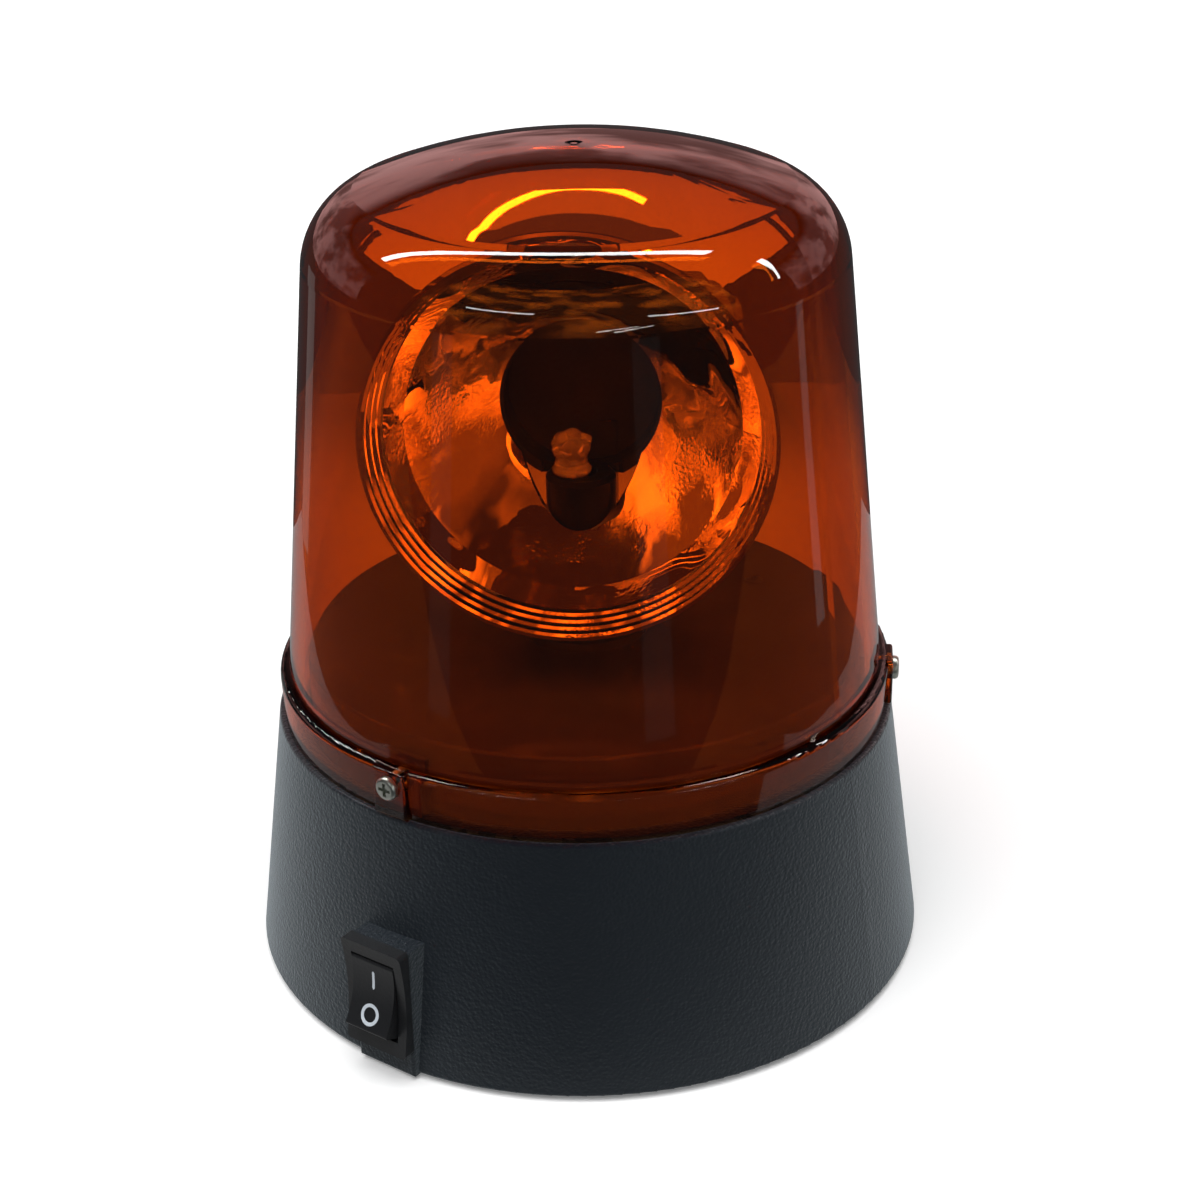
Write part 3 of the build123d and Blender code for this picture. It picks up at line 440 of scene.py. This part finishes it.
def makeLampHead():
    low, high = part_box("led")
    middle = (Vector(low) + Vector(high)) / 2
    foot = Vector((middle.x, middle.y, low[2]))
    height, radius, rim = lampSet["height"], lampSet["radius"], lampSet["foot"]

    def lumpy(spot):
        if spot.z < lampSet["lumpFrom"]:
            return spot
        out = Vector((spot.x, spot.y, spot.z - height * 0.45)).normalized()
        near = cellNoise.voronoi(spot * lampSet["lumpsPerMetre"])[0]
        return spot + out * lampSet["lump"] * (lampSet["lumpMiddle"] - near[0])

    def build(work):
        profile = [(0, 0), (radius * 0.95, 0), (radius * 0.97, rim)]
        steps = lampSet["rings"]
        shoulder = lampSet["shoulder"]
        for k in range(1, steps):
            t = k / steps
            closed = max(0.0, (t - shoulder) / (1 - shoulder)) ** lampSet["roundness"]
            wide = math.sqrt(max(0.0, 1 - closed))
            bulge = 0.88 + 0.1 * math.sin(t * math.pi)
            profile.append((radius * bulge * wide, rim + (height - rim) * t))
        profile.append((0, height))
        lathe(work, profile, lampSet["sides"], lumpy)
        bmesh.ops.translate(work, verts=work.verts, vec=foot)

    head = meshPiece("lamp_head", build, epoxy, "body")
    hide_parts("led")
    for part in ("cup", "pin"):
        def turned(work):
            lathe(work, [(r * mm, z * mm) for r, z in lampSet[part]], lampSet[part + "Sides"])
            aside = Vector((lampSet[part + "At"], 0, 0))
            bmesh.ops.translate(work, verts=work.verts, vec=foot + aside)

        meshPiece("lamp_" + part, turned, contactSteel, "body")


def rockerPlace():
    # along is up the rocker's face, out is away from the base, across is the pin's line
    hinge = [j for j in frame["joints"] if j["name"] == "rocker_tip"][0]
    across = Vector(hinge["axis"]).normalized()
    up = Vector((0, 0, 1))
    out = up.cross(across)
    if out.dot(Vector(hinge["pos_m"])) < 0:
        out = -out
    tip = math.radians(markSet["restTip"])

    def place(x, y, z):
        along = x * math.cos(tip) - y * math.sin(tip)
        away = x * math.sin(tip) + y * math.cos(tip)
        return Vector(hinge["pos_m"]) + up * along + out * away + across * z

    return place


def faceHeight(x):
    rounded = markSet["faceRound"]
    return markSet["faceDip"] + rounded - math.sqrt(rounded ** 2 - x ** 2)


def makeMark(name, rows):
    # rows are lines of (along, across) points, and the mark follows the hollow face
    place = rockerPlace()

    def build(work):
        layers = []
        for lift in (markSet["proud"], -markSet["sunk"]):
            layer = []
            for row in rows:
                layer.append([work.verts.new(place(x, faceHeight(x) + lift, z)) for x, z in row])
            layers.append(layer)
        for layer in layers:
            for a, b in zip(layer, layer[1:]):
                for k in range(len(a) - 1):
                    work.faces.new((a[k], a[k + 1], b[k + 1], b[k]))
        top, under = layers
        for k in range(len(rows[0]) - 1):
            work.faces.new((top[0][k], top[0][k + 1], under[0][k + 1], under[0][k]))
            work.faces.new((top[-1][k], top[-1][k + 1], under[-1][k + 1], under[-1][k]))
        for end in (0, -1):
            for a, b, c, d in zip(top, top[1:], under, under[1:]):
                work.faces.new((a[end], b[end], d[end], c[end]))
        bmesh.ops.remove_doubles(work, verts=work.verts, dist=0.001 * mm)

    meshPiece(name, build, markWhite, "rocker", smooth=False)


def makeMarks():
    half = markSet["barWide"] / 2
    steps = markSet["barSteps"]
    bar = []
    for k in range(steps + 1):
        x = (-1 + 2 * k / steps) * markSet["barLong"] / 2
        left = markSet["barLong"] / 2 - abs(x)
        wide = math.sqrt(max(0.0, half ** 2 - max(0.0, half - left) ** 2))
        wide = max(wide, half * markSet["barEnd"])
        bar.append([(markSet["barAt"] + x, -wide), (markSet["barAt"] + x, wide)])
    makeMark("mark_on", bar)
    steps = markSet["ringSteps"]
    edges = (markSet["ringIn"], markSet["ringOut"])
    ring = []
    for k in range(steps + 1):
        a = 2 * math.pi * k / steps
        ring.append([(markSet["ringAt"] + r * math.cos(a), r * math.sin(a)) for r in edges])
    makeMark("mark_off", ring)


makeLampHead()
makeMarks()
print("lamp and marks made")


# floor and light

tableSet = {
    # the pale table as the object's surfaces see it: left, front, right, back
    "wide": (-0.5, -0.14, 0.5, 0.235),
    "near": (-0.15, -0.06, 0.15, 0.15),
    "white": 0.95, "dull": 0.3,   # near the far edge, and as the polished faces reflect it
    "fades": (0.15, 0.225),
    "lift": 0.16, "rough": 0.95,
    "far": 8.0, "above": 0.05 * mm,
}

tubeSet = {
    "height": 1.0,
    "long": ((-1.15, 0.40), (0.52, 0.19)),    # two lamp battens in line over the table
    "short": ((1.15, 0.19), (2.9, 0.18)),
    "width": 0.09,
    "glow": 20.0,
}

slitSet = {
    "away": 2.0,
    # bearing and height of each end in degrees, then its thickness
    "slits": [
        ((-48, 24.5), (-18, 24.5), 0.045),
        ((29, 17), (58, 11.5), 0.045),
        ((7, 3.2), (24, 6.5), 0.02),
        ((14, 2.2), (30, 5.2), 0.02),
    ],
    "glow": 16.0,
}

wallSet = {
    "away": 1.5, "fromBearing": 98, "toBearing": 262, "steps": 24,
    "foot": 0.1, "rise": 27, "fadeFrom": 0.78,
    "patchSize": 2.6, "patchEnds": (0.4, 0.6),   # shelves and doorways break it up softly
    "levels": (0.22, 0.95), "colour": (1.0, 0.52, 0.5),
}

bandSet = {
    # soft upright strips that stand to each side and run down the lens: bearings, then glow
    "away": 0.2, "top": 0.085,
    "bands": [(90, 94, 0.4), (-133, -124, 0.25), (-54, -46, 0.12), (19, 29, 0.12)],
}

roomSet = {
    # patches of light in the room that only the reflector gathers
    "away": 1.2, "bearing": 70, "steps": 12, "top": 2.2,
    "patchSize": 3.0, "patchEnds": (0.47, 0.68), "levels": (0.9, 9.0),
    "fadeTo": 0.4, "faint": 0.16,
}

skySet = {"dim": 0.05, "dimColour": (0.9, 0.95, 1.0), "through": 0.14, "throughColour": (1.0, 0.9, 0.85)}

keySet = {"aim": (0.12, 0.3, -1.0), "strength": 3.8, "spread": 60}

archSet = {
    # glows on the wall behind the table, seen through the crown over the reflector
    "away": 0.25,
    "disc": {"centre": (-0.001, -0.010), "from": 0.001, "to": 0.056, "angles": (14, 166), "glow": 0.4},
    "halo": {"centre": (-0.001, -0.010), "from": 0.056, "to": 0.086, "angles": (38, 142), "glow": 1.7},
    "ring": {"centre": (0.001, 0.021), "from": 0.0335, "to": 0.0358, "angles": (58, 152), "glow": 42.0},
}


def plate(name, corners):
    mesh = bpy.data.meshes.new(name)
    mesh.from_pydata(corners, [], [tuple(range(n, n + 4)) for n in range(0, len(corners), 4)])
    thing = bpy.data.objects.new(name, mesh)
    bpy.context.scene.collection.objects.link(thing)
    return thing


def seenBy(thing, *kinds):
    for kind in ("camera", "diffuse", "glossy", "transmission", "volume_scatter", "shadow"):
        setattr(thing, "visible_" + kind, kind in kinds)


def glow(thing, strength, colour=(1, 1, 1)):
    mat = bpy.data.materials.new(thing.name)
    mat.use_nodes = True
    tree = mat.node_tree
    tree.nodes.remove(tree.nodes["Principled BSDF"])
    lamp = addNode(tree, "ShaderNodeEmission", Color=(*colour, 1), Strength=strength)
    tree.links.new(lamp.outputs[0], tree.nodes["Material Output"].inputs["Surface"])
    thing.data.materials.append(mat)
    return tree, lamp


def heading(bearing, rise):
    # bearing runs from the front towards the right
    a, e = math.radians(bearing), math.radians(rise)
    return Vector((math.sin(a) * math.cos(e), -math.cos(a) * math.cos(e), math.sin(e)))


def flatStrip(name, start, finish, width, height):
    along = (Vector(finish) - Vector(start)).normalized()
    side = Vector((-along.y, along.x)) * width / 2
    ends = [Vector(start) - side, Vector(finish) - side, Vector(finish) + side, Vector(start) + side]
    return plate(name, [(p.x, p.y, height) for p in ends])


def matt(name, shade):
    mat, tree, shader = newMaterial(name)
    shader.inputs["Base Color"].default_value = (shade, shade, shade, 1)
    shader.inputs["Roughness"].default_value = tableSet["rough"]
    shader.inputs["Specular IOR Level"].default_value = 0.0
    return mat, tree, shader


def makeFloor():
    far = tableSet["far"]
    floor = plate("floor", [(-far, -far, 0), (far, -far, 0), (far, far, 0), (-far, far, 0)])
    pale, _, paleShader = matt("paleTable", tableSet["white"])
    paleShader.inputs["Emission Color"].default_value = (1, 1, 1, 1)
    paleShader.inputs["Emission Strength"].default_value = tableSet["lift"]
    floor.data.materials.append(pale)
    seenBy(floor, "camera")
    fading, tree, shader = matt("tableAway", tableSet["white"])
    fade = between(tree, along(tree, "Y"), tableSet["fades"])
    shades = [(0.0, [tableSet["white"]] * 3), (1.0, [tableSet["dull"]] * 3)]
    tree.links.new(ramp(tree, fade, shades), shader.inputs["Base Color"])
    dull = matt("tableShine", tableSet["dull"])[0]
    lift = tableSet["above"]
    for part, kinds, mat in (("wide", ("diffuse", "transmission"), fading), ("near", ("glossy",), dull)):
        left, front, right, back = tableSet[part]
        corners = [(left, front), (right, front), (right, back), (left, back)]
        table = plate("table_" + part, [(x, y, lift) for x, y in corners])
        table.data.materials.append(mat)
        seenBy(table, *kinds)


def makeLamps():
    for part in ("long", "short"):
        start, finish = tubeSet[part]
        tube = flatStrip("tube_" + part, start, finish, tubeSet["width"], tubeSet["height"])
        seenBy(tube, "glossy", "transmission")
        glow(tube, tubeSet["glow"])
    for n, (start, finish, thick) in enumerate(slitSet["slits"]):
        steps = 8
        corners = []
        half = Vector((0, 0, thick / 2))
        for k in range(steps):
            two = []
            for t in (k / steps, (k + 1) / steps):
                bearing = start[0] + (finish[0] - start[0]) * t
                rise = start[1] + (finish[1] - start[1]) * t
                two.append(Vector((0, 0, 0.1)) + heading(bearing, rise) * slitSet["away"])
            corners += [two[0] - half, two[1] - half, two[1] + half, two[0] + half]
        slit = plate("slit_" + str(n), corners)
        seenBy(slit, "glossy", "transmission")
        glow(slit, slitSet["glow"])


def upright(name, away, bearings, steps, foot, top):
    # a curved card that stands round the object
    first, last = bearings
    corners = []
    for k in range(steps):
        a, b = [heading(first + (last - first) * t / steps, 0) * away for t in (k, k + 1)]
        corners += [(a.x, a.y, foot), (b.x, b.y, foot), (b.x, b.y, top), (a.x, a.y, top)]
    return plate(name, corners)


def makeWall():
    foot = wallSet["foot"]
    top = wallSet["away"] * math.tan(math.radians(wallSet["rise"])) + foot
    bearings = (wallSet["fromBearing"], wallSet["toBearing"])
    wall = upright("wall", wallSet["away"], bearings, wallSet["steps"], foot, top)
    seenBy(wall, "glossy")
    tree, lamp = glow(wall, wallSet["levels"][1], wallSet["colour"])
    fade = between(tree, along(tree, "Z"), (top, top * wallSet["fadeFrom"]))
    patches = noise(tree, wallSet["patchSize"], 3.0, 0.6)
    patch = between(tree, patches, wallSet["patchEnds"], wallSet["levels"])
    tree.links.new(product(tree, fade, patch), lamp.inputs["Strength"])


def makeBands():
    for n, (first, last, strength) in enumerate(bandSet["bands"]):
        strip = upright("band_" + str(n), bandSet["away"], (first, last), 1, 0, bandSet["top"])
        seenBy(strip, "glossy")
        glow(strip, strength)


def makeKey():
    light = bpy.data.lights.new("key", "SUN")
    light.energy = keySet["strength"]
    light.angle = math.radians(keySet["spread"])
    lamp = bpy.data.objects.new("key", light)
    lamp.rotation_euler = Vector(keySet["aim"]).to_track_quat("-Z", "Y").to_euler()
    bpy.context.scene.collection.objects.link(lamp)
    seenBy(lamp, "diffuse")


def makeArch():
    steps = 40
    for n, name in enumerate(("disc", "halo", "ring")):
        part = archSet[name]
        cx, cz = part["centre"]
        first, last = part["angles"]
        depth = archSet["away"] - n * 2 * mm
        corners = []
        for k in range(steps):
            a, b = [math.radians(first + (last - first) * t / steps) for t in (k, k + 1)]
            for radius, angle in ((part["from"], a), (part["to"], a), (part["to"], b), (part["from"], b)):
                corners.append((cx + radius * math.cos(angle), depth, cz + radius * math.sin(angle)))
        fan = plate(name, corners)
        seenBy(fan, "transmission")
        glow(fan, part["glow"])


def makeRoom():
    bearings = (-roomSet["bearing"], roomSet["bearing"])
    room = upright("room", roomSet["away"], bearings, roomSet["steps"], 0.0, roomSet["top"])
    seenBy(room, "transmission")
    tree, lamp = glow(room, 1.0)
    patches = noise(tree, roomSet["patchSize"], 1.0, 0.4)
    bright = between(tree, patches, roomSet["patchEnds"], roomSet["levels"], "LINEAR")
    fade = between(tree, along(tree, "Z"), (0.0, roomSet["fadeTo"]), (roomSet["faint"], 1.0))
    tree.links.new(product(tree, fade, bright), lamp.inputs["Strength"])


def makeWorld():
    world = bpy.data.worlds.new("studio")
    world.use_nodes = True
    tree = world.node_tree
    paper = tree.nodes["Background"]
    paper.inputs["Color"].default_value = (1, 1, 1, 1)
    paper.inputs["Strength"].default_value = 1.0
    dim = addNode(tree, "ShaderNodeBackground", Color=(*skySet["dimColour"], 1), Strength=skySet["dim"])
    path = tree.nodes.new("ShaderNodeLightPath")
    through = addNode(tree, "ShaderNodeBackground", Strength=skySet["through"])
    through.inputs["Color"].default_value = (*skySet["throughColour"], 1)
    inner = tree.nodes.new("ShaderNodeMixShader")
    tree.links.new(path.outputs["Is Transmission Ray"], inner.inputs[0])
    tree.links.new(dim.outputs[0], inner.inputs[1])
    tree.links.new(through.outputs[0], inner.inputs[2])
    mix = tree.nodes.new("ShaderNodeMixShader")
    tree.links.new(path.outputs["Is Camera Ray"], mix.inputs[0])
    tree.links.new(inner.outputs[0], mix.inputs[1])
    tree.links.new(paper.outputs[0], mix.inputs[2])
    tree.links.new(mix.outputs[0], tree.nodes["World Output"].inputs["Surface"])
    bpy.context.scene.world = world


makeFloor()
makeLamps()
makeWall()
makeBands()
makeKey()
makeRoom()
makeArch()
makeWorld()
bpy.context.scene.view_settings.view_transform = "Standard"
print("studio set")
